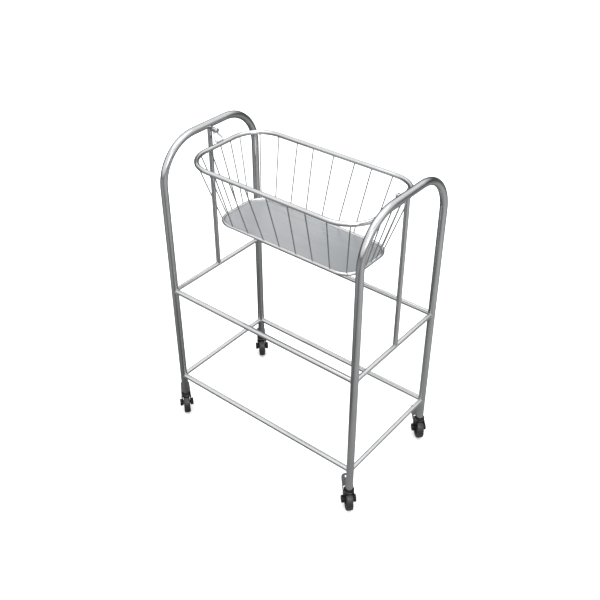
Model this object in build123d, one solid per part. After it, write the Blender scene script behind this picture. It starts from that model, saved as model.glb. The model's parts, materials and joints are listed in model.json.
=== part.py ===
from build123d import *
import os
from math import cos, radians, sin

# Wire baby cot swinging in a tubular stand on four braked casters.
# Millimetres. +Z is up, X runs along the cot, Y across it.
# The origin is on the floor, under the middle of the whole object's outline.

# The trailing casters put the outline's middle to one side of the stand's.
STAND_X = 20.5
STAND_Y = -20.0

# ---- stand ----
SPAN_X = 783.0            # between the two hoops' planes
SPAN_Y = 450.0            # between the two legs of a hoop
LEG_D = 25.4
CROSS_D = 16.0            # crossbars and centre uprights
RAIL_D = 18.0             # long rails, front and back
WALL = 1.2                # every tube's wall
HOOP_Z = 1134.0           # centre line of a hoop's straight top
HOOP_BEND_R = 149.0
MID_Z = 578.0             # centre line of the middle frame
LOW_Z = 186.0             # centre line of the low frame
LEG_FOOT_Z = 100.0        # where a leg stops, on top of its caster

# ---- pivots that carry the cot ----
PIVOT_Z = 1119.0
SHOULDER_D = 16.0
SHOULDER_OUT = 13.5       # shoulder's reach from the hoop plane
PIN_D = 10.0
PIN_OUT = 31.2            # bearing shaft's reach from the hoop plane
THREAD_D = 8.0
THREAD_LONG = 4.5
CAP_D = 18.0
CAP_THICK = 6.5
WASHER_D = 17.0
WASHER_THICK = 1.0
BUSH_D = 16.0
BUSH_END_GAP = 0.5        # between the bush and what holds it in
RUN_GAP = 0.08            # radial clearance of every turning fit
FIT_GAP = 0.05            # radial clearance of a part pushed into a tube

# ---- cot ----
RIM_D = 16.0
RIM_LONG = 691.0          # centre line to centre line
RIM_WIDE = 355.0
RIM_CORNER_R = 108.0
RIM_Z = 1074.0
BASE_D = 12.0             # rod of the lower ring
BASE_LONG = 557.0
BASE_WIDE = 218.0
BASE_CORNER_R = 59.0
BASE_Z = 853.0
TRAY_THICK = 1.5
WIRE_D = 4.0
HANGER_D = 6.0
HANGER_HALF = 20.0        # half the hanger's foot, which lies on the rim
HANGER_BEND_R = 7.0

# Where each side's wires meet the rim, along X. They are a little uneven, as welded by hand.
FRONT_WIRES_AT_RIM = (-206, -146, -80, 4, 88, 155, 235)
BACK_WIRES_AT_RIM = (-238, -156, -88, -3, 82, 148, 229)
SIDE_WIRE_PITCH_AT_BASE = 67.0
END_WIRES = 5
END_WIRE_PITCH_AT_RIM = 48.0
END_WIRE_PITCH_AT_BASE = 28.0
CORNER_WIRE_DEG = 52.0    # round the corner, from the cot's end

# ---- casters, each drawn about its own swivel axis with its trail towards +X ----
CASTER_HEADINGS = {       # direction of each trail, degrees anticlockwise from +X
    "front_left": 139.0,
    "front_right": 134.0,
    "back_left": 134.0,
    "back_right": 135.0,
}
TRAIL = 5.0
WHEEL_R = 42.0
TYRE_WIDE = 24.0
TYRE_BORE_R = 31.0
TYRE_SHOULDER_R = 4.0
TREAD_CROWN = 1.0         # how much the tread stands up in its middle
TYRE_EDGE = 2.0           # how far the hub's band stops short of the tyre's sides
HUB_BOSS_R = 9.0
HUB_WEB_HALF = 3.0
HUB_BAND_THICK = 4.0
HUB_WIDE = 26.4
AXLE_D = 8.0
AXLE_HEAD_AF = 13.0
AXLE_HEAD_THICK = 5.0
FORK_GAP = 27.0           # between the fork's arms
FORK_PLATE = 2.5
FORK_EYE_R = 12.0
CROWN_LONG = 34.0
CROWN_LOW_Z = 86.0
CROWN_PLATE = 3.0
RACE_TOP_Z = 90.5
RACE_R = 16.5
HOUSING_LOW_Z = 91.0
HOUSING_R = 17.5
HOUSING_TOP_R = 14.5
HOUSING_SHOULDER_Z = 95.5
KINGPIN_R = 4.0
RIVET_R = 6.5
RIVET_LOW_Z = 84.8
STEM_R = 5.5
STEM_TOP_Z = 153.0
SOCKET_TOP_Z = 159.0
AXLE_CAP_D = 27.0
AXLE_CAP_THICK = 9.7
AXLE_CAP_WEB = 2.8
AXLE_CAP_BORE_D = 16.5

# ---- brake pedal: a pressed channel, open below, hinged on the outside of the fork ----
PEDAL_HINGE_X = 12.0
PEDAL_HINGE_Z = 63.5
PEDAL_EYE_R = 7.0         # of its arms, round the hinge
PEDAL_WALL = 2.0
PEDAL_SKIN = 3.0
PEDAL_SIDE_GAP = 0.3      # between an arm and the fork
PEDAL_SKIN_FROM = 28.0    # where the skin starts, past the fork
PEDAL_HEEL_Z = 83.5       # top of the skin there
PEDAL_TIP_X = 72.0        # middle of the round tip
PEDAL_TIP_R = 17.0
PEDAL_TIP_TOP_Z = 78.0
PEDAL_TIP_LOW_Z = 71.0
PEDAL_SLOT_LONG = 14.0    # oval slot near the tip
PEDAL_SLOT_WIDE = 9.0
PEDAL_SLOT_X = 73.0
PEDAL_PIN_D = 5.0
PEDAL_PIN_HEAD_D = 9.0
PEDAL_PIN_HEAD = 1.6

HALF_X = SPAN_X / 2
HALF_Y = SPAN_Y / 2
ENDS = {"left": -1, "right": 1}
SIDES = {"front": -1, "back": 1}


# ---------------------------------------------------------------- helpers
def rod(start, end, diameter):
    """A round bar between two points."""
    reach = Vector(*end) - Vector(*start)
    return Solid.make_cylinder(diameter / 2, reach.length, Plane(origin=start, z_dir=reach))


def tube(start, end, diameter):
    """A straight tube between two points."""
    return rod(start, end, diameter) - rod(start, end, diameter - 2 * WALL)


def swept(path, profile):
    """A flat profile carried along a path that it starts square to."""
    start = Plane(origin=path @ 0, z_dir=path % 0)
    return sweep(start * profile, path=path).solid()


def revolved(outline):
    """A closed outline of (radius, height) points, turned about Z."""
    return revolve(Plane.XZ * make_face(Polyline(*outline, close=True)), Axis.Z).solid()


def about_y(turned):
    """A part turned about Z, laid with its axis along Y."""
    return turned.rotate(Axis.X, 90)


def mirrored_pair(part, plane):
    """The part and its mirror image, as two separate solids."""
    return Compound(children=[part, mirror(part, about=plane).solid()])


# ---------------------------------------------------------------- stand
def hoop_bar(x, diameter):
    """A solid bar on a hoop's centre line."""
    path = FilletPolyline((x, -HALF_Y, LEG_FOOT_Z), (x, -HALF_Y, HOOP_Z),
                          (x, HALF_Y, HOOP_Z), (x, HALF_Y, LEG_FOOT_Z), radius=HOOP_BEND_R)
    return swept(path, Circle(diameter / 2))


def hoop(x):
    """Two legs and the top that joins them, bent from one tube."""
    return hoop_bar(x, LEG_D) - hoop_bar(x, LEG_D - 2 * WALL)


def leg(x, y):
    """The filled-in shape of one leg, which rail ends are cut to."""
    return rod((x, y, LEG_FOOT_Z), (x, y, HOOP_Z - HOOP_BEND_R), LEG_D)


def crossbar(x, z):
    """Joins a hoop's two legs. Its ends are cut to their curve."""
    bar = tube((x, -HALF_Y, z), (x, HALF_Y, z), CROSS_D)
    return bar - leg(x, -HALF_Y) - leg(x, HALF_Y)


def rail(y, z):
    """Joins the left hoop to the right one. Its ends are cut to the legs."""
    bar = tube((-HALF_X, y, z), (HALF_X, y, z), RAIL_D)
    return bar - leg(-HALF_X, y) - leg(HALF_X, y)


def upright(x):
    """Stands on the middle crossbar, under the hoop's top."""
    bar = tube((x, 0, MID_Z), (x, 0, HOOP_Z), CROSS_D)
    below = rod((x, -CROSS_D, MID_Z), (x, CROSS_D, MID_Z), CROSS_D)
    above = rod((x, -LEG_D, HOOP_Z), (x, LEG_D, HOOP_Z), LEG_D)
    return bar - below - above


def pivot_pin(side):
    """Turned pin welded to the upright and the hoop, pointing inwards under the hoop's top."""
    plane_x = side * HALF_X
    shoulder_x = plane_x - side * SHOULDER_OUT
    shaft_x = plane_x - side * PIN_OUT
    thread_x = shaft_x - side * THREAD_LONG
    pin = rod((plane_x, 0, PIVOT_Z), (shoulder_x, 0, PIVOT_Z), SHOULDER_D)
    pin += rod((shoulder_x, 0, PIVOT_Z), (shaft_x, 0, PIVOT_Z), PIN_D)
    pin += rod((shaft_x, 0, PIVOT_Z), (thread_x, 0, PIVOT_Z), THREAD_D - 2 * FIT_GAP)
    pin -= rod((plane_x, 0, MID_Z), (plane_x, 0, HOOP_Z), CROSS_D)
    return pin - rod((plane_x, -LEG_D, HOOP_Z), (plane_x, LEG_D, HOOP_Z), LEG_D)


def pin_cap(side):
    """Domed cap nut on the end of a pivot pin."""
    start = side * (HALF_X - PIN_OUT)
    end = start - side * CAP_THICK
    cap = rod((start, 0, PIVOT_Z), (end, 0, PIVOT_Z), CAP_D)
    face = cap.faces().sort_by(Axis.X)[-1 if side < 0 else 0]
    cap = fillet(face.edges(), CAP_THICK * 0.6)
    return (cap - rod((start, 0, PIVOT_Z), (start - side * THREAD_LONG, 0, PIVOT_Z), THREAD_D)).solid()


def pin_washer(side):
    """Flat washer between a hanger bush and the cap nut."""
    outer = side * (HALF_X - PIN_OUT)
    inner = outer + side * WASHER_THICK
    disc = rod((outer, 0, PIVOT_Z), (inner, 0, PIVOT_Z), WASHER_D)
    return (disc - rod((outer, 0, PIVOT_Z), (inner, 0, PIVOT_Z), PIN_D + 2 * FIT_GAP)).solid()


# ---------------------------------------------------------------- cot
def ring(length, width, corner_r, z, diameter):
    """A round bar bent into a rounded rectangle."""
    path = (Pos(0, 0, z) * RectangleRounded(length, width, corner_r)).face().outer_wire()
    return swept(path, Circle(diameter / 2))


def rim_bar():
    return ring(RIM_LONG, RIM_WIDE, RIM_CORNER_R, RIM_Z, RIM_D)


def base_bar():
    return ring(BASE_LONG, BASE_WIDE, BASE_CORNER_R, BASE_Z, BASE_D)


def rim_tube():
    """The cot's top rim is a tube."""
    return rim_bar() - ring(RIM_LONG, RIM_WIDE, RIM_CORNER_R, RIM_Z, RIM_D - 2 * WALL)


def tray():
    """Sheet floor, welded along its edge to the inside of the lower ring."""
    plate = RectangleRounded(BASE_LONG - BASE_D, BASE_WIDE - BASE_D, BASE_CORNER_R - BASE_D / 2)
    return extrude(Pos(0, 0, BASE_Z - TRAY_THICK / 2) * plate, TRAY_THICK).solid()


def wires(ends, rim, base):
    """Straight wires from the rim down to the lower ring, their tips cut to both."""
    return Compound(children=[(rod(top, foot, WIRE_D) - rim - base).solid() for top, foot in ends])


def side_wire_ends(y_side, at_rim):
    middle = (len(at_rim) - 1) / 2
    return [((x, y_side * RIM_WIDE / 2, RIM_Z),
             ((i - middle) * SIDE_WIRE_PITCH_AT_BASE, y_side * BASE_WIDE / 2, BASE_Z))
            for i, x in enumerate(at_rim)]


def end_wire_ends(x_side):
    steps = [i - (END_WIRES - 1) / 2 for i in range(END_WIRES)]
    return [((x_side * RIM_LONG / 2, step * END_WIRE_PITCH_AT_RIM, RIM_Z),
             (x_side * BASE_LONG / 2, step * END_WIRE_PITCH_AT_BASE, BASE_Z))
            for step in steps]


def corner_point(length, width, corner_r, x_side, y_side, z):
    """The point of a ring's centre line at the corner wire's angle."""
    along = length / 2 - corner_r + corner_r * cos(radians(CORNER_WIRE_DEG))
    across = width / 2 - corner_r + corner_r * sin(radians(CORNER_WIRE_DEG))
    return (x_side * along, y_side * across, z)


def corner_wire_ends():
    return [(corner_point(RIM_LONG, RIM_WIDE, RIM_CORNER_R, x_side, y_side, RIM_Z),
             corner_point(BASE_LONG, BASE_WIDE, BASE_CORNER_R, x_side, y_side, BASE_Z))
            for x_side in ENDS.values() for y_side in SIDES.values()]


def bush_ends(side):
    """X of a hanger bush's two faces, the one next to the shoulder first."""
    near = side * (HALF_X - SHOULDER_OUT - BUSH_END_GAP)
    far = side * (HALF_X - PIN_OUT + WASHER_THICK + BUSH_END_GAP)
    return near, far


def hanger_bush(side):
    """Plain bush that turns on a pivot pin."""
    near, far = bush_ends(side)
    outside = rod((near, 0, PIVOT_Z), (far, 0, PIVOT_Z), BUSH_D)
    return (outside - rod((near, 0, PIVOT_Z), (far, 0, PIVOT_Z), PIN_D + 2 * RUN_GAP)).solid()


def hanger(side):
    """Rod bent to a triangle: two legs from the bush down to a foot along the rim's end."""
    near, far = bush_ends(side)
    top_x = (near + far) / 2
    foot_x = side * RIM_LONG / 2
    foot_z = RIM_Z + RIM_D / 2 + HANGER_D / 2
    top_y = HANGER_D / 2 + 0.2
    top_z = PIVOT_Z - BUSH_D / 4
    path = FilletPolyline((top_x, -top_y, top_z), (foot_x, -HANGER_HALF, foot_z),
                          (foot_x, HANGER_HALF, foot_z), (top_x, top_y, top_z),
                          radius=HANGER_BEND_R)
    bent = swept(path, Circle(HANGER_D / 2))
    return (bent - rod((near, 0, PIVOT_Z), (far, 0, PIVOT_Z), BUSH_D)).solid()


# ---------------------------------------------------------------- casters
def caster_mount():
    """Stem, swivel housing and king pin, fixed in the leg."""
    return revolved([(0, RIVET_LOW_Z), (RIVET_R, RIVET_LOW_Z), (RIVET_R, CROWN_LOW_Z - 0.3),
                     (KINGPIN_R, CROWN_LOW_Z - 0.3), (KINGPIN_R, HOUSING_LOW_Z),
                     (HOUSING_R, HOUSING_LOW_Z), (HOUSING_R, HOUSING_SHOULDER_Z),
                     (HOUSING_TOP_R, LEG_FOOT_Z), (STEM_R, LEG_FOOT_Z),
                     (STEM_R, STEM_TOP_Z), (0, STEM_TOP_Z)])


def stem_socket():
    """Sleeve inside the leg that grips the caster's stem."""
    bore = STEM_R + FIT_GAP
    outside = LEG_D / 2 - WALL - FIT_GAP
    return revolved([(bore, LEG_FOOT_Z), (outside, LEG_FOOT_Z),
                     (outside, SOCKET_TOP_Z), (bore, SOCKET_TOP_Z)])


def fork_arm():
    """One arm of the fork, tapering from the crown to the axle's eye."""
    outline = Plane.XZ * make_hull((Pos(TRAIL, WHEEL_R) * Circle(FORK_EYE_R)).edges()
                                   + crown_section().edges())
    return extrude(outline, FORK_PLATE / 2, both=True).moved(Pos(0, (FORK_GAP + FORK_PLATE) / 2, 0))


def crown_section():
    """Side view of the crown plate, from which the arms hang."""
    return Pos(0, CROWN_LOW_Z + CROWN_PLATE / 2) * Rectangle(CROWN_LONG, CROWN_PLATE)


def fork():
    """Crown with its lower ball race, and two arms."""
    wide = FORK_GAP + 2 * FORK_PLATE
    body = extrude(Pos(0, 0, CROWN_LOW_Z) * Rectangle(CROWN_LONG, wide), CROWN_PLATE)
    body += rod((0, 0, CROWN_LOW_Z + CROWN_PLATE), (0, 0, RACE_TOP_Z), 2 * RACE_R)
    arm = fork_arm()
    body += arm
    body += mirror(arm, about=Plane.XZ)
    body -= rod((0, 0, CROWN_LOW_Z), (0, 0, RACE_TOP_Z), 2 * (KINGPIN_R + RUN_GAP))
    body -= rod((TRAIL, -wide, WHEEL_R), (TRAIL, wide, WHEEL_R), AXLE_D + 2 * FIT_GAP)
    body -= rod((PEDAL_HINGE_X, -wide, PEDAL_HINGE_Z), (PEDAL_HINGE_X, wide, PEDAL_HINGE_Z),
                PEDAL_PIN_D + 2 * FIT_GAP)
    return body.solid()


def cap_inner_y():
    """How far the axle caps' inner faces stand from the wheel's middle."""
    return FORK_GAP / 2 + FORK_PLATE


def axle():
    """Bolt through the fork and wheel, with a hexagon at both ends."""
    seat = cap_inner_y() + AXLE_CAP_WEB
    bolt = rod((TRAIL, -seat, WHEEL_R), (TRAIL, seat, WHEEL_R), AXLE_D)
    hexagon = RegularPolygon(AXLE_HEAD_AF / 2, 6, major_radius=False)
    for side in SIDES.values():
        face = Plane(origin=(TRAIL, side * seat, WHEEL_R), z_dir=(0, side, 0))
        bolt += extrude(face * hexagon, AXLE_HEAD_THICK)
    return bolt.solid()


def axle_caps():
    """Moulded ring over each end of the axle, outside the fork."""
    inner = cap_inner_y()
    outer = inner + AXLE_CAP_THICK
    web = inner + AXLE_CAP_WEB
    cap = rod((TRAIL, inner, WHEEL_R), (TRAIL, outer, WHEEL_R), AXLE_CAP_D)
    cap -= rod((TRAIL, web, WHEEL_R), (TRAIL, outer, WHEEL_R), AXLE_CAP_BORE_D)
    cap -= rod((TRAIL, inner, WHEEL_R), (TRAIL, web, WHEEL_R), AXLE_D + 2 * FIT_GAP)
    return mirrored_pair(cap.solid(), Plane.XZ)


def wheel_hub():
    """Moulded wheel centre: boss, thin web and a band for the tyre."""
    bore = AXLE_D / 2 + RUN_GAP
    band = TYRE_WIDE / 2 - TYRE_EDGE
    band_in = TYRE_BORE_R - HUB_BAND_THICK
    half = [(bore, HUB_WIDE / 2), (HUB_BOSS_R, HUB_WIDE / 2), (HUB_BOSS_R + 2, HUB_WEB_HALF),
            (band_in - 1, HUB_WEB_HALF), (band_in, band), (TYRE_BORE_R, band)]
    outline = half + [(r, -y) for r, y in reversed(half)]
    return Pos(TRAIL, 0, WHEEL_R) * about_y(revolved(outline))


def tyre():
    """Rubber tyre with a slightly raised tread and rounded shoulders."""
    edge = TYRE_WIDE / 2
    tread_r = WHEEL_R - TREAD_CROWN
    foot = (TYRE_BORE_R, edge - TYRE_EDGE)
    side = Polyline(foot, (TYRE_BORE_R + TYRE_EDGE, edge), (tread_r, edge))
    tread = ThreePointArc((tread_r, edge), (WHEEL_R, 0), (tread_r, -edge))
    back = Polyline((tread_r, -edge), (TYRE_BORE_R + TYRE_EDGE, -edge), (foot[0], -foot[1]), foot)
    section = make_face([side, tread, back])
    section = fillet(section.vertices().group_by(Axis.X)[-1], TYRE_SHOULDER_R)
    return Pos(TRAIL, 0, WHEEL_R) * about_y(revolve(Plane.XZ * section, Axis.Z).solid())


def pedal_inner_y():
    return cap_inner_y() + PEDAL_SIDE_GAP


def pedal_prism(inset, drop):
    """The pedal's outside as a solid block, drawn in by an inset and lowered by a drop."""
    wide = 2 * (pedal_inner_y() + PEDAL_WALL - inset)
    heel = PEDAL_HINGE_X - PEDAL_EYE_R
    root = Pos((heel + PEDAL_SKIN_FROM) / 2, 0) * Rectangle(PEDAL_SKIN_FROM - heel, wide)
    tip = Pos(PEDAL_TIP_X, 0) * Circle(PEDAL_TIP_R - inset)
    plan = extrude(make_hull(root.edges() + tip.edges()), PEDAL_HEEL_Z)
    end = PEDAL_TIP_X + PEDAL_TIP_R
    top = Polyline((PEDAL_SKIN_FROM, PEDAL_HEEL_Z), (end, PEDAL_TIP_TOP_Z), (end, PEDAL_TIP_LOW_Z))
    eye = Pos(PEDAL_HINGE_X, PEDAL_HINGE_Z) * Circle(PEDAL_EYE_R)
    side = Plane.XZ * Pos(0, -drop) * make_hull(eye.edges() + top.edges())
    return plan & extrude(side, wide, both=True)


def brake_pedal():
    """Foot plate with turned-down sides, which reach back to the hinge."""
    inner = 2 * pedal_inner_y()
    wide = inner + 4 * PEDAL_WALL
    pedal = pedal_prism(0, 0) - pedal_prism(PEDAL_WALL, PEDAL_SKIN)
    pedal -= Pos(0, 0, PEDAL_HINGE_Z) * Box(2 * PEDAL_SKIN_FROM, inner, 2 * PEDAL_HINGE_Z)
    slot = Pos(PEDAL_SLOT_X, 0) * SlotOverall(PEDAL_SLOT_LONG, PEDAL_SLOT_WIDE)
    pedal -= extrude(slot, PEDAL_HEEL_Z)
    pedal -= rod((PEDAL_HINGE_X, -wide, PEDAL_HINGE_Z), (PEDAL_HINGE_X, wide, PEDAL_HINGE_Z),
                 PEDAL_PIN_D + 2 * RUN_GAP)
    return pedal.solid()


def pedal_pins():
    """Headed stub pins that hang the pedal on the fork's arms."""
    start = FORK_GAP / 2 + 0.2
    head = pedal_inner_y() + PEDAL_WALL + PEDAL_SIDE_GAP
    pin = rod((PEDAL_HINGE_X, start, PEDAL_HINGE_Z), (PEDAL_HINGE_X, head, PEDAL_HINGE_Z), PEDAL_PIN_D)
    pin += rod((PEDAL_HINGE_X, head, PEDAL_HINGE_Z),
               (PEDAL_HINGE_X, head + PEDAL_PIN_HEAD, PEDAL_HINGE_Z), PEDAL_PIN_HEAD_D)
    return mirrored_pair(pin.solid(), Plane.XZ)


# ---------------------------------------------------------------- assembly
def stand_parts():
    parts = {}
    for end, side in ENDS.items():
        x = side * HALF_X
        parts[f"hoop_{end}"] = hoop(x)
        parts[f"upright_{end}"] = upright(x)
        parts[f"mid_crossbar_{end}"] = crossbar(x, MID_Z)
        parts[f"low_crossbar_{end}"] = crossbar(x, LOW_Z)
        parts[f"pivot_pin_{end}"] = pivot_pin(side)
    for face, side in SIDES.items():
        parts[f"mid_rail_{face}"] = rail(side * HALF_Y, MID_Z)
        parts[f"low_rail_{face}"] = rail(side * HALF_Y, LOW_Z)
    parts["pin_caps"] = Compound(children=[pin_cap(side) for side in ENDS.values()])
    parts["pin_washers"] = Compound(children=[pin_washer(side) for side in ENDS.values()])
    return parts


def cot_parts():
    rim = rim_bar()
    base = base_bar()
    return {
        "cot_rim": rim_tube(),
        "cot_base_ring": base,
        "cot_tray": tray(),
        "front_wires": wires(side_wire_ends(SIDES["front"], FRONT_WIRES_AT_RIM), rim, base),
        "back_wires": wires(side_wire_ends(SIDES["back"], BACK_WIRES_AT_RIM), rim, base),
        "left_end_wires": wires(end_wire_ends(ENDS["left"]), rim, base),
        "right_end_wires": wires(end_wire_ends(ENDS["right"]), rim, base),
        "corner_wires": wires(corner_wire_ends(), rim, base),
        "hangers": Compound(children=[hanger(side) for side in ENDS.values()]),
        "hanger_bushes": Compound(children=[hanger_bush(side) for side in ENDS.values()]),
    }


def caster_parts():
    shapes = {
        "caster_mount": caster_mount(),
        "fork": fork(),
        "axle": axle(),
        "axle_caps": axle_caps(),
        "wheel_hub": wheel_hub(),
        "tyre": tyre(),
        "brake_pedal": brake_pedal(),
        "pedal_pins": pedal_pins(),
    }
    parts = {}
    sockets = []
    for corner, heading in CASTER_HEADINGS.items():
        face, end = corner.split("_")
        place = Pos(ENDS[end] * HALF_X, SIDES[face] * HALF_Y, 0) * Rot(0, 0, heading)
        sockets.append(place * stem_socket())
        for name, shape in shapes.items():
            parts[f"{name}_{corner}"] = place * shape
    parts["stem_sockets"] = Compound(children=sockets)
    return parts


os.makedirs("parts", exist_ok=True)
for node, shape in {**stand_parts(), **cot_parts(), **caster_parts()}.items():
    export_step(Pos(STAND_X, STAND_Y, 0) * shape, f"parts/{node}.step")
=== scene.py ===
import json
from math import cos, pi, radians, sin, sqrt

import bmesh
import bpy
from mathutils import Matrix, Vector, noise


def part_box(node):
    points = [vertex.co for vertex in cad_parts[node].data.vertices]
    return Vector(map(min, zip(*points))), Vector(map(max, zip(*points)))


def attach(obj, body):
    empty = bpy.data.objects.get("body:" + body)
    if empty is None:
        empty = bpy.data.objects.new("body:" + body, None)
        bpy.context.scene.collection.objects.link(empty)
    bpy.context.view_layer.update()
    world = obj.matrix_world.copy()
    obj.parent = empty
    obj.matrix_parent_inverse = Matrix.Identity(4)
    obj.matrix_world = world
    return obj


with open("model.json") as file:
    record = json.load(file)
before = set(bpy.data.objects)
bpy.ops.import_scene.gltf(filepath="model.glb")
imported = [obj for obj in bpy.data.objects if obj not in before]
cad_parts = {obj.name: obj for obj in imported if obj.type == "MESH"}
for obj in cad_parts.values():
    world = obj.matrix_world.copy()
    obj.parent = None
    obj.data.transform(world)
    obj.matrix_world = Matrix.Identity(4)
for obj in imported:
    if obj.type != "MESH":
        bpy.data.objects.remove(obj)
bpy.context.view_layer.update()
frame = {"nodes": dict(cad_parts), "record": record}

NODES = frame["nodes"]
BEHAVIOUR = frame["record"]["behaviour"]
ENDS = {"left": -1, "right": 1}
SIDES = {"front": -1, "back": 1}
CORNERS = [f"{side}_{end}" for side in SIDES for end in ENDS]
MM = 0.001

# The camera was fitted to the photograph's tubes. Its place is from the stand's own middle, in
# metres, and the studio's reflections are laid out from its heading.
CAMERA_PLACE = (1.4778, -1.8493, 2.2885)
CAMERA_HEADING = radians(38.70)
CAMERA_TILT = radians(54.28)
CAMERA_LENS = 50.33
SENSOR_WIDTH = 36.0

# Weld beads, by the radius of the bead.
TUBE_BEAD_R = 1.5 * MM
PIVOT_BEAD_R = 0.8 * TUBE_BEAD_R
WIRE_BEAD_R = 0.9 * MM
TRAY_BEAD_R = 1.1 * MM
HANGER_BEAD_R = 1.2 * MM

# ---------------------------------------------------------------- places read from the frame


def middle(node):
    low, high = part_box(node)
    return (Vector(low) + Vector(high)) / 2


def extent(node):
    low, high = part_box(node)
    return Vector(high) - Vector(low)


def joint(name):
    return next(j for j in BEHAVIOUR["joints"] if j["name"] == name)


# The frame's origin is under the middle of the whole outline. This is the stand's own middle.
CENTRE_X = (middle("hoop_left").x + middle("hoop_right").x) / 2
CENTRE_Y = middle("hoop_right").y
HOOP_X = middle("hoop_right").x - CENTRE_X
LEG_R = extent("hoop_right").x / 2
LEG_Y = extent("hoop_right").y / 2 - LEG_R
HOOP_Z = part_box("hoop_right")[1][2] - LEG_R
RAIL_R = extent("mid_rail_front").z / 2
CROSS_R = extent("mid_crossbar_left").z / 2
MID_Z = middle("mid_rail_front").z
LOW_Z = middle("low_rail_front").z
PIVOT_Z = middle("pin_caps").z
RIM_Z = middle("cot_rim").z
RIM_R = extent("cot_rim").z / 2


def stand_point(x, y, z):
    """A point given from the stand's own middle, in the shared frame."""
    return Vector((CENTRE_X + x, CENTRE_Y + y, z))


# ---------------------------------------------------------------- mesh helpers


def new_object(name, verts, faces, smooth=True):
    mesh = bpy.data.meshes.new(name)
    mesh.from_pydata([tuple(v) for v in verts], [], faces)
    bm = bmesh.new()
    bm.from_mesh(mesh)
    bmesh.ops.recalc_face_normals(bm, faces=bm.faces)
    bm.to_mesh(mesh)
    bm.free()
    mesh.polygons.foreach_set("use_smooth", [smooth] * len(mesh.polygons))
    obj = bpy.data.objects.new(name, mesh)
    bpy.context.scene.collection.objects.link(obj)
    return obj


def finish_piece(obj, body, material):
    obj.data.materials.clear()
    obj.data.materials.append(material)
    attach(obj, body)
    return obj


class Heap:
    """Gathers many small closed shapes into one mesh."""

    def __init__(self):
        self.verts = []
        self.faces = []

    def add(self, verts, faces):
        start = len(self.verts)
        self.verts += verts
        self.faces += [tuple(start + i for i in face) for face in faces]

    def rings(self, rings, closed):
        """Skins equal rings of points. A closed run joins its last ring to its first."""
        count, around = len(rings), len(rings[0])
        verts = [v for ring in rings for v in ring]
        faces = []
        for i in range(count if closed else count - 1):
            for j in range(around):
                a, b = i * around, (i + 1) % count * around
                k = (j + 1) % around
                faces.append((a + j, a + k, b + k, b + j))
        if not closed:
            faces.append(tuple(reversed(range(around))))
            faces.append(tuple((count - 1) * around + j for j in range(around)))
        self.add(verts, faces)

    def build(self, name, smooth=True):
        return new_object(name, self.verts, self.faces, smooth)


def across(direction):
    """Two unit vectors square to a direction and to each other."""
    direction = direction.normalized()
    start = Vector((0, 0, 1)) if abs(direction.z) < 0.9 else Vector((1, 0, 0))
    u = direction.cross(start).normalized()
    return u, direction.cross(u).normalized()


def circle(centre, radius, u, v, count):
    """Points round a centre, in the plane of two unit vectors."""
    turns = [2 * pi * i / count for i in range(count)]
    return [centre + radius * (cos(turn) * u + sin(turn) * v) for turn in turns]


# ---------------------------------------------------------------- weld beads


def meeting_curve(centre, branch, branch_r, main, main_r, steps):
    """Where a branch bar's skin meets a main bar's. Both axes pass through centre."""
    branch, main = branch.normalized(), main.normalized()
    u, v = across(branch)
    along = branch - branch.dot(main) * main
    points = []
    for i in range(steps):
        turn = 2 * pi * i / steps
        out = branch_r * (cos(turn) * u + sin(turn) * v)
        flat = out - out.dot(main) * main
        a, b, c = along.dot(along), flat.dot(along), flat.dot(flat) - main_r ** 2
        reach = (-b + sqrt(max(b * b - a * c, 0))) / a
        points.append(centre + out + reach * branch)
    return points


def add_bead(heap, points, size, sections=8, ripple=0.0, ripple_pitch=1.6 * MM, seed=0):
    """A rounded bead along a closed line, with the ripples that a weld leaves."""
    wander_share, wander_scale = 0.18, 90      # slow changes of size, and how many go in a metre
    count = len(points)
    length = sum((points[i] - points[i - 1]).length for i in range(count))
    ripples = max(3, round(length / ripple_pitch))
    rings = []
    for i, point in enumerate(points):
        tangent = (points[(i + 1) % count] - points[i - 1]).normalized()
        u, v = across(tangent)
        wave = abs(sin(pi * ripples * i / count))
        x, y, z = (value * wander_scale for value in point)
        wander = noise.noise(Vector((x, y, z + seed)))
        radius = size * (1 - ripple + ripple * wave + wander_share * wander)
        rings.append(circle(point, radius, u, v, sections))
    heap.rings(rings, closed=True)


def add_stitch(heap, start, end, size, steps=24, sections=8):
    """A short straight bead that tapers to nothing at both ends."""
    blunt, ripple, ripple_steps = 0.02, 0.14, 2.5
    u, v = across(end - start)
    rings = []
    for i in range(steps + 1):
        t = blunt + (1 - 2 * blunt) * i / steps
        wave = abs(sin(pi * i / ripple_steps))
        radius = size * sqrt(1 - (2 * t - 1) ** 2) * (1 - ripple + ripple * wave)
        rings.append(circle(start.lerp(end, t), radius, u, v, sections))
    heap.rings(rings, closed=False)


def add_weld(heap, centre, branch, branch_r, main, main_r, size, steps=160):
    points = meeting_curve(Vector(centre), Vector(branch), branch_r, Vector(main), main_r, steps)
    add_bead(heap, points, size, ripple=0.28, seed=len(heap.verts))


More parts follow.
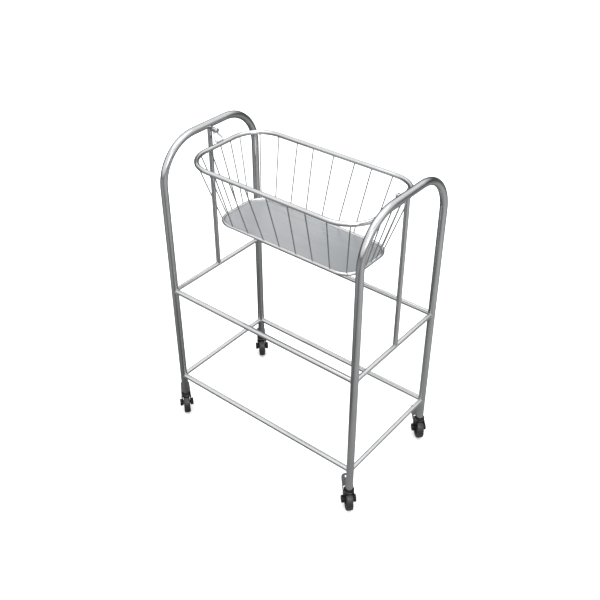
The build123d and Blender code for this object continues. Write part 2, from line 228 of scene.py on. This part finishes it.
def stand_welds(material):
    """Beads where rails, crossbars, uprights and pivot pins meet the hoops."""
    up, size = (0, 0, 1), TUBE_BEAD_R
    for end, x_side in ENDS.items():
        heap = Heap()
        x = x_side * HOOP_X
        inwards = (-x_side, 0, 0)
        for y_side in SIDES.values():
            for z in (LOW_Z, MID_Z):
                foot = stand_point(x, y_side * LEG_Y, z)
                add_weld(heap, foot, inwards, RAIL_R, up, LEG_R, size)
                add_weld(heap, foot, (0, -y_side, 0), CROSS_R, up, LEG_R, size)
        add_weld(heap, stand_point(x, 0, MID_Z), up, CROSS_R, (0, 1, 0), CROSS_R, size)
        add_weld(heap, stand_point(x, 0, HOOP_Z), (0, 0, -1), CROSS_R, (0, 1, 0), LEG_R, size)
        add_weld(heap, stand_point(x, 0, PIVOT_Z), inwards, CROSS_R, up, CROSS_R, PIVOT_BEAD_R)
        finish_piece(heap.build(f"weld_beads_{end}"), "stand", material)


def wire_ends(node):
    """The foot and top of every wire in a node, found from the node's separate solids."""
    end_zone = 3.2 * MM
    bm = bmesh.new()
    bm.from_mesh(NODES[node].data)
    bmesh.ops.remove_doubles(bm, verts=bm.verts, dist=1e-6)
    seen, wires = set(), []
    for start in bm.verts:
        if start in seen:
            continue
        island, stack = [], [start]
        seen.add(start)
        while stack:
            vert = stack.pop()
            island.append(vert.co.copy())
            for edge in vert.link_edges:
                other = edge.other_vert(vert)
                if other not in seen:
                    seen.add(other)
                    stack.append(other)
        low = min(v.z for v in island)
        high = max(v.z for v in island)
        ends = []
        for lo, hi in ((low, low + end_zone), (high - end_zone, high)):
            near = [v for v in island if lo <= v.z <= hi]
            ends.append(sum(near, Vector()) / len(near))
        wires.append(ends)
    bm.free()
    return wires


def cot_welds(material):
    """A small bead at both ends of every wire, and the beads of the sheet floor and hangers."""
    ring_r, inset = 2.1 * MM, 0.6 * MM
    heap = Heap()
    for node in ("front_wires", "back_wires", "left_end_wires", "right_end_wires", "corner_wires"):
        for foot, top in wire_ends(node):
            direction = (top - foot).normalized()
            u, v = across(direction)
            for point, sense in ((foot, 1), (top, -1)):
                ring = circle(point + sense * inset * direction, ring_r, u, v, 28)
                add_bead(heap, ring, WIRE_BEAD_R, sections=6, ripple=0.2, seed=len(heap.verts))
    tray_stitches(heap)
    hanger_welds(heap)
    finish_piece(heap.build("wire_welds"), "cot", material)


def tray_stitches(heap):
    """Stitch welds that hold the sheet floor to the lower ring."""
    low, high = (Vector(v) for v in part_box("cot_tray"))
    centre = (low + high) / 2
    half = (high - low) / 2
    half_stitch, side_pitch, end_pitch = 9 * MM, 66 * MM, 42 * MM
    along, beside = Vector((half_stitch, 0, 0)), Vector((0, half_stitch, 0))
    for side in (-1, 1):
        for i in range(-3, 4):
            at = Vector((centre.x + i * side_pitch, centre.y + side * half.y, high.z))
            add_stitch(heap, at - along, at + along, TRAY_BEAD_R)
        for i in (-1, 0, 1):
            at = Vector((centre.x + side * half.x, centre.y + i * end_pitch, high.z))
            add_stitch(heap, at - beside, at + beside, TRAY_BEAD_R)


def hanger_welds(heap):
    """Beads along each hanger's foot on the rim, and where its legs meet the bush."""
    rim_x = extent("cot_rim").x / 2 - RIM_R
    rod_r, bush_r, half_bush = 3 * MM, 8 * MM, 7.85 * MM
    half_bead, bead_off, bead_lift = 12 * MM, 2.4 * MM, 0.5 * MM
    top_y, foot_y, foot_z = 3.2 * MM, 20 * MM, RIM_Z + RIM_R + rod_r
    bead_r = rod_r + 0.2 * MM
    down_the_leg = 0.085       # part of the leg's length from its top to the bead
    bush_x = extent("hanger_bushes").x / 2 - half_bush
    for side in (-1, 1):
        for off in (-bead_off, bead_off):
            x, z = side * rim_x + off, RIM_Z + RIM_R + bead_lift
            add_stitch(heap, stand_point(x, -half_bead, z), stand_point(x, half_bead, z),
                       HANGER_BEAD_R)
        for across_y in (-1, 1):
            top = stand_point(side * bush_x, across_y * top_y, PIVOT_Z - bush_r / 2)
            foot = stand_point(side * rim_x, across_y * foot_y, foot_z)
            u, v = across(foot - top)
            ring = circle(top.lerp(foot, down_the_leg), bead_r, u, v, 40)
            add_bead(heap, ring, WIRE_BEAD_R, ripple=0.25, seed=len(heap.verts))


# ---------------------------------------------------------------- caster details


def race_ring(corner, ring_metal):
    """Bright seal ring round a caster's lower race."""
    ring_r, thick, below_top = 16.6 * MM, 0.7 * MM, 1.1 * MM
    swivel = Vector(joint(f"swivel_{corner}")["pos_m"])
    race_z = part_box(f"fork_{corner}")[1][2] - below_top
    centre, up = Vector((swivel.x, swivel.y, race_z)), Vector((0, 0, 1))
    outwards = circle(Vector(), 1.0, Vector((1, 0, 0)), Vector((0, 1, 0)), 96)
    heap = Heap()
    heap.rings([circle(centre + ring_r * out, thick, out, up, 8) for out in outwards], closed=True)
    ring = heap.build(f"race_ring_{corner}")
    finish_piece(ring, f"swivel_{corner}", ring_metal)


def rib_section(half_width):
    """Corners of a rib's cross-section, as (along the axle, across the rib), edges chamfered."""
    half_edge, half_thick, inner = 0.7 * MM, 1.2 * MM, half_width - 0.5 * MM
    return ((half_width, half_edge), (inner, half_thick), (-inner, half_thick),
            (-half_width, half_edge), (-half_width, -half_edge), (-inner, -half_thick),
            (inner, -half_thick), (half_width, -half_edge))


def hub_ribs(corner, hub_plastic):
    """The ribs moulded into a wheel, from its boss out to the band under the tyre."""
    count, first_turn, under_tyre = 6, 0.3, 3.5 * MM
    band_in = extent(f"wheel_hub_{corner}").z / 2 - under_tyre
    stations = ((9.5 * MM, 8.5 * MM), (band_in * 0.65, 7.4 * MM), (band_in, 8 * MM))
    roll = joint(f"roll_{corner}")
    centre, axle = Vector(roll["pos_m"]), Vector(roll["axis"]).normalized()
    side = axle.cross(Vector((0, 0, 1))).normalized()
    heap = Heap()
    for i in range(count):
        turn = 2 * pi * i / count + first_turn
        out = cos(turn) * side + sin(turn) * Vector((0, 0, 1))
        cross = out.cross(axle)
        heap.rings([[centre + radius * out + w * axle + c * cross
                     for w, c in rib_section(half_width)]
                    for radius, half_width in stations], closed=False)
    ribs = heap.build(f"hub_ribs_{corner}", smooth=False)
    finish_piece(ribs, f"wheel_{corner}", hub_plastic)


def caster_details(ring_metal, hub_plastic):
    for corner in CORNERS:
        race_ring(corner, ring_metal)
        hub_ribs(corner, hub_plastic)


def soften_edges():
    """Breaks the sharp arrises of the pressed, moulded and turned caster parts."""
    widths = {"brake_pedal_": 0.6, "fork_": 0.5, "axle_caps_": 0.8, "axle_": 0.4,
              "caster_mount_": 0.5, "wheel_hub_": 0.4, "pedal_pins_": 0.4, "pivot_pin_": 0.4,
              "hanger_bushes": 0.4}
    for name, obj in NODES.items():
        for start, width in widths.items():
            if name.startswith(start):
                bevel = obj.modifiers.new("soft_edges", "BEVEL")
                bevel.width = width * MM
                bevel.segments = 2
                bevel.limit_method = "ANGLE"
                bevel.angle_limit = radians(40)
                bevel.harden_normals = True
                break


# ---------------------------------------------------------------- materials


def node_material(name):
    mat = bpy.data.materials.new(name)
    mat.use_nodes = True
    tree = mat.node_tree
    return mat, tree, tree.nodes["Principled BSDF"]


def add_node(tree, kind, **values):
    node = tree.nodes.new(kind)
    for key, value in values.items():
        if key in node.inputs:
            node.inputs[key].default_value = value
        else:
            setattr(node, key, value)
    return node


def stretched_noise(tree, scale, detail=3.0, roughness=0.55):
    """Noise in the row frame, stretched by a different amount along each axis."""
    coords = add_node(tree, "ShaderNodeTexCoord")
    mapping = add_node(tree, "ShaderNodeMapping", Scale=scale)
    tree.links.new(coords.outputs["Object"], mapping.inputs["Vector"])
    tex = add_node(tree, "ShaderNodeTexNoise", Scale=1.0, Detail=detail, Roughness=roughness)
    tree.links.new(mapping.outputs["Vector"], tex.inputs["Vector"])
    return tex.outputs["Fac"]


def ramp(tree, fac, stops):
    node = add_node(tree, "ShaderNodeValToRGB")
    elements = node.color_ramp.elements
    while len(elements) < len(stops):
        elements.new(0.5)
    for element, (position, colour) in zip(elements, stops):
        element.position = position
        element.color = (*colour, 1) if len(colour) == 3 else colour
    tree.links.new(fac, node.inputs["Fac"])
    return node.outputs["Color"]


def grey(value):
    return (value, value, value)


def to_range(tree, fac, low, high, out_low, out_high):
    node = add_node(tree, "ShaderNodeMapRange")
    sockets = ("From Min", "From Max", "To Min", "To Max")
    for socket, value in zip(sockets, (low, high, out_low, out_high)):
        node.inputs[socket].default_value = value
    tree.links.new(fac, node.inputs["Value"])
    return node.outputs["Result"]


def from_noise(tree, fac, out_low, out_high):
    """Stretches noise to a range of values. Nearly all of it lies between 0.3 and 0.7."""
    return to_range(tree, fac, 0.3, 0.7, out_low, out_high)


def mixed(tree, fac, first, second, blend="MIX"):
    node = add_node(tree, "ShaderNodeMix", data_type="RGBA", blend_type=blend)
    for socket, value in ((0, fac), (6, first), (7, second)):
        if isinstance(value, (int, float)):
            node.inputs[socket].default_value = value
        elif isinstance(value, tuple):
            node.inputs[socket].default_value = (*value, 1)
        else:
            tree.links.new(value, node.inputs[socket])
    return node.outputs[2]


def bump(tree, shader, heights, distance, strength=1.0):
    normal = None
    for height in heights:
        node = add_node(tree, "ShaderNodeBump", Strength=strength, Distance=distance)
        tree.links.new(height, node.inputs["Height"])
        if normal:
            tree.links.new(normal, node.inputs["Normal"])
        normal = node.outputs["Normal"]
    tree.links.new(normal, shader.inputs["Normal"])


def steel(name, base, roughness, grain, grain_depth=0.02 * MM, smudge=9.0):
    """Polished stainless: fine grain lines, faint smudges and a slow drift in gloss."""
    mat, tree, shader = node_material(name)
    lines = stretched_noise(tree, grain, detail=4.0, roughness=0.65)
    cloud = stretched_noise(tree, (smudge,) * 3, detail=3.0)
    speck = stretched_noise(tree, (260, 260, 260), detail=2.0)
    worn = ramp(tree, cloud, [(0.3, tuple(c * 0.9 for c in base)), (0.7, base)])
    lined = ramp(tree, lines, [(0.25, grey(0.86)), (0.75, grey(1.0))])
    tree.links.new(mixed(tree, 0.5, worn, lined, "MULTIPLY"), shader.inputs["Base Color"])
    shader.inputs["Metallic"].default_value = 1.0
    gloss = mixed(tree, 0.3, from_noise(tree, cloud, roughness - 0.05, roughness + 0.06),
                  from_noise(tree, lines, roughness - 0.06, roughness + 0.1))
    tree.links.new(gloss, shader.inputs["Roughness"])
    bump(tree, shader, (lines, speck), grain_depth, 0.5)
    return mat


def weld_steel():
    """Bead metal: duller than the tube, with a faint straw tint left by the heat."""
    mat, tree, shader = node_material("weld_bead_metal")
    cloud = stretched_noise(tree, (140, 140, 140), detail=3.0)
    tint = ramp(tree, cloud, [(0.3, (0.42, 0.40, 0.37)), (0.55, (0.50, 0.48, 0.45)),
                              (0.8, (0.45, 0.46, 0.48))])
    tree.links.new(tint, shader.inputs["Base Color"])
    shader.inputs["Metallic"].default_value = 1.0
    tree.links.new(from_noise(tree, cloud, 0.32, 0.5), shader.inputs["Roughness"])
    bump(tree, shader, (stretched_noise(tree, (1600, 1600, 1600)),), 0.05 * MM, 0.5)
    return mat


def moulded(name, base, roughness, grain=900.0, depth=0.04 * MM, dust=0.5, shine=0.2):
    """Moulded plastic or rubber: pebbled skin, uneven sheen and a little dust."""
    mat, tree, shader = node_material(name)
    pebble = stretched_noise(tree, (grain,) * 3, detail=2.0)
    cloud = stretched_noise(tree, (45, 45, 45), detail=4.0)
    dusty = tuple(min(1.0, c * (1 + dust) + 0.003) for c in base)
    tree.links.new(ramp(tree, cloud, [(0.35, base), (0.75, dusty)]), shader.inputs["Base Color"])
    sheen = from_noise(tree, cloud, roughness - 0.08, roughness + 0.1)
    tree.links.new(sheen, shader.inputs["Roughness"])
    shader.inputs["Specular IOR Level"].default_value = shine
    bump(tree, shader, (pebble,), depth, 0.6)
    return mat


def coated_metal(name, base, roughness, shine=0.2):
    """Black coated steel: slight orange peel and grey rub marks."""
    mat, tree, shader = node_material(name)
    peel = stretched_noise(tree, (420, 420, 420), detail=2.0)
    rubs = stretched_noise(tree, (60, 60, 240), detail=5.0, roughness=0.7)
    worn = tuple(c * 2.0 + 0.006 for c in base)
    tree.links.new(ramp(tree, rubs, [(0.56, base), (0.72, worn)]), shader.inputs["Base Color"])
    sheen = from_noise(tree, rubs, roughness - 0.06, roughness + 0.12)
    tree.links.new(sheen, shader.inputs["Roughness"])
    shader.inputs["Specular IOR Level"].default_value = shine
    bump(tree, shader, (peel,), 0.05 * MM, 0.5)
    return mat


def sheet_steel():
    """Cold-rolled sheet: soft streaks along its length, and a darker base colour towards the cot's
    right end.
    """
    mat, tree, shader = node_material("cot_sheet_steel")
    streaks = stretched_noise(tree, (3, 60, 60), detail=4.0, roughness=0.6)
    lines = stretched_noise(tree, (14, 900, 900), detail=3.0)
    cloud = stretched_noise(tree, (7, 7, 7), detail=3.0)
    coords = add_node(tree, "ShaderNodeTexCoord")
    split = add_node(tree, "ShaderNodeSeparateXYZ")
    tree.links.new(coords.outputs["Object"], split.inputs["Vector"])
    drift = ramp(tree, to_range(tree, split.outputs["X"], -0.25, 0.30, 0, 1),
                 [(0.0, (0.56, 0.575, 0.59)), (0.5, (0.52, 0.535, 0.55)),
                  (1.0, (0.36, 0.375, 0.39))])
    streaked = ramp(tree, streaks, [(0.3, grey(0.84)), (0.7, grey(1.0))])
    tree.links.new(mixed(tree, 0.6, drift, streaked, "MULTIPLY"), shader.inputs["Base Color"])
    shader.inputs["Metallic"].default_value = 1.0
    tree.links.new(from_noise(tree, cloud, 0.24, 0.36), shader.inputs["Roughness"])
    bump(tree, shader, (lines, cloud), 0.01 * MM, 0.5)
    return mat


def paint_nodes():
    """Gives every CAD node its material. Returns the two that the caster details use too."""
    # Uprights, hoops and wires get a darker base colour than the rails and rim of the same steel:
    # painted shade, for upright steel that mirrors the darker surround.
    tube_x = steel("stand_tube_along", (0.64, 0.65, 0.66), 0.16, (25, 1500, 1500))
    tube_y = steel("stand_tube_across", (0.66, 0.67, 0.68), 0.16, (1500, 25, 1500))
    tube_z = steel("stand_tube_up", (0.55, 0.56, 0.57), 0.15, (1500, 1500, 25))
    hoop = steel("stand_hoop", (0.57, 0.58, 0.59), 0.13, (1100, 260, 60))
    rim = steel("cot_rim_steel", (0.63, 0.64, 0.65), 0.14, (120, 900, 900))
    wire = steel("cot_wire_steel", (0.44, 0.45, 0.46), 0.2, (900, 900, 60))
    tray = sheet_steel()
    turned = steel("turned_steel", (0.56, 0.56, 0.58), 0.16, (2200, 160, 160))
    zinc = steel("zinc_plate", (0.42, 0.42, 0.42), 0.3, (400, 400, 400))
    housing = coated_metal("caster_black", (0.004, 0.004, 0.0045), 0.24)
    fork = coated_metal("fork_black", (0.005, 0.005, 0.0055), 0.26)
    # The pedal's base is lighter than the fork's: painted light, standing in for its lit flank.
    pedal = coated_metal("pedal_black", (0.055, 0.055, 0.058), 0.3, shine=0.4)
    cap = moulded("cap_plastic", (0.005, 0.005, 0.0055), 0.34)
    hub = moulded("hub_plastic", (0.02, 0.02, 0.022), 0.42)
    tyre = moulded("tyre_rubber", (0.009, 0.009, 0.0095), 0.3, grain=1400.0, shine=0.6)
    chosen = {
        "hoop_": hoop, "upright_": tube_z, "mid_rail_": tube_x, "low_rail_": tube_x,
        "mid_crossbar_": tube_y, "low_crossbar_": tube_y, "pivot_pin_": turned,
        "pin_caps": turned, "pin_washers": turned, "cot_rim": rim, "cot_base_ring": rim,
        "cot_tray": tray, "front_wires": wire, "back_wires": wire, "left_end_wires": wire,
        "right_end_wires": wire, "corner_wires": wire, "hangers": rim, "hanger_bushes": turned,
        "stem_sockets": cap, "caster_mount_": housing, "fork_": fork, "axle_caps_": cap,
        "axle_": zinc, "wheel_hub_": hub, "tyre_": tyre, "brake_pedal_": pedal, "pedal_pins_": zinc,
    }
    for name, obj in NODES.items():
        start = next(key for key in chosen if name.startswith(key))
        obj.data.materials.clear()
        obj.data.materials.append(chosen[start])
    return zinc, hub


# ---------------------------------------------------------------- studio


def seen_by_camera(tree, coordinates):
    """Coordinates with X running across the camera's view, Y away from it and Z up."""
    coords = add_node(tree, "ShaderNodeTexCoord")
    turned = add_node(tree, "ShaderNodeMapping", Rotation=(0, 0, -CAMERA_HEADING))
    split = add_node(tree, "ShaderNodeSeparateXYZ")
    tree.links.new(coords.outputs[coordinates], turned.inputs["Vector"])
    tree.links.new(turned.outputs["Vector"], split.inputs["Vector"])
    return split.outputs


def floor():
    """White floor, as the camera sees it. The steel mirrors a darker one, lighter to its right: a
    painted reflection, given to glossy rays only.
    """
    size = 12.0
    corners = [(-size, -size, 0), (size, -size, 0), (size, size, 0), (-size, size, 0)]
    obj = new_object("floor", corners, [(0, 1, 2, 3)], smooth=False)
    mat, tree, shader = node_material("pale_floor")
    path = add_node(tree, "ShaderNodeLightPath")
    cloud = stretched_noise(tree, (0.8, 0.8, 0.8))
    pale = ramp(tree, cloud, [(0.3, grey(0.95)), (0.7, grey(0.97))])
    place = seen_by_camera(tree, "Object")
    sideways = ramp(tree, to_range(tree, place["X"], -1.2, 1.2, 0, 1),
                    [(0.0, grey(0.24)), (0.36, grey(0.09)), (0.46, grey(0.21)),
                     (0.75, grey(0.28)), (1.0, grey(0.36))])
    away = ramp(tree, to_range(tree, place["Y"], -1.2, 1.6, 0, 1),
                [(0.0, grey(0.95)), (0.4, grey(0.8)), (0.62, grey(0.5)), (1.0, grey(0.22))])
    # Painted reflection: darker away from the camera, with a dark band left of the middle.
    seen = mixed(tree, 1.0, sideways, away, "MULTIPLY")
    colour = mixed(tree, path.outputs["Is Glossy Ray"], pale, seen)
    tree.links.new(colour, shader.inputs["Base Color"])
    shader.inputs["Roughness"].default_value = 0.95
    shader.inputs["Specular IOR Level"].default_value = 0.0
    obj.data.materials.append(mat)


def sky():
    """Soft studio surround: even light, and a bright ceiling for the steel to mirror."""
    world = bpy.data.worlds.new("studio")
    bpy.context.scene.world = world
    world.use_nodes = True
    tree = world.node_tree
    background = tree.nodes["Background"]
    path = add_node(tree, "ShaderNodeLightPath")
    direction = seen_by_camera(tree, "Generated")
    height = to_range(tree, direction["Z"], -1, 1, 0, 1)
    near = ramp(tree, height, [(0.0, grey(0.08)), (0.49, grey(0.11)), (0.54, grey(0.46)),
                               (0.65, grey(0.68)), (1.0, grey(0.66))])
    far = ramp(tree, height, [(0.0, grey(0.05)), (0.60, grey(0.06)), (0.72, grey(0.40)),
                              (0.80, grey(0.68)), (1.0, grey(0.66))])
    mirrored = mixed(tree, to_range(tree, direction["Y"], -0.25, 0.35, 0, 1), near, far)
    colour = mixed(tree, path.outputs["Is Glossy Ray"], grey(0.92), mirrored)
    tree.links.new(colour, background.inputs["Color"])
    background.inputs["Strength"].default_value = 1.9


def softbox(name, place, target, size, power):
    lamp = bpy.data.lights.new(name, "AREA")
    lamp.shape = "RECTANGLE"
    lamp.size, lamp.size_y = size
    lamp.energy = power
    obj = bpy.data.objects.new(name, lamp)
    bpy.context.scene.collection.objects.link(obj)
    obj.location = place
    obj.rotation_euler = (Vector(target) - Vector(place)).to_track_quat("-Z", "Y").to_euler()


def camera():
    data = bpy.data.cameras.new("camera")
    data.lens = CAMERA_LENS
    data.sensor_width = SENSOR_WIDTH
    obj = bpy.data.objects.new("camera", data)
    bpy.context.scene.collection.objects.link(obj)
    obj.location = stand_point(*CAMERA_PLACE)
    obj.rotation_euler = (CAMERA_TILT, 0, CAMERA_HEADING)
    bpy.context.scene.camera = obj


# ---------------------------------------------------------------- the scene

zinc_metal, hub_plastic = paint_nodes()
bead_metal = weld_steel()
stand_welds(bead_metal)
cot_welds(bead_metal)
caster_details(zinc_metal, hub_plastic)
soften_edges()
floor()
sky()
softbox("overhead", place=(0.3, -0.2, 3.4), target=(0, 0, 0.8), size=(3.0, 2.2), power=30)
softbox("key", place=(2.6, -2.0, 2.6), target=(0, 0, 0.7), size=(1.6, 1.6), power=22)
camera()
bpy.context.scene.view_settings.view_transform = "Standard"
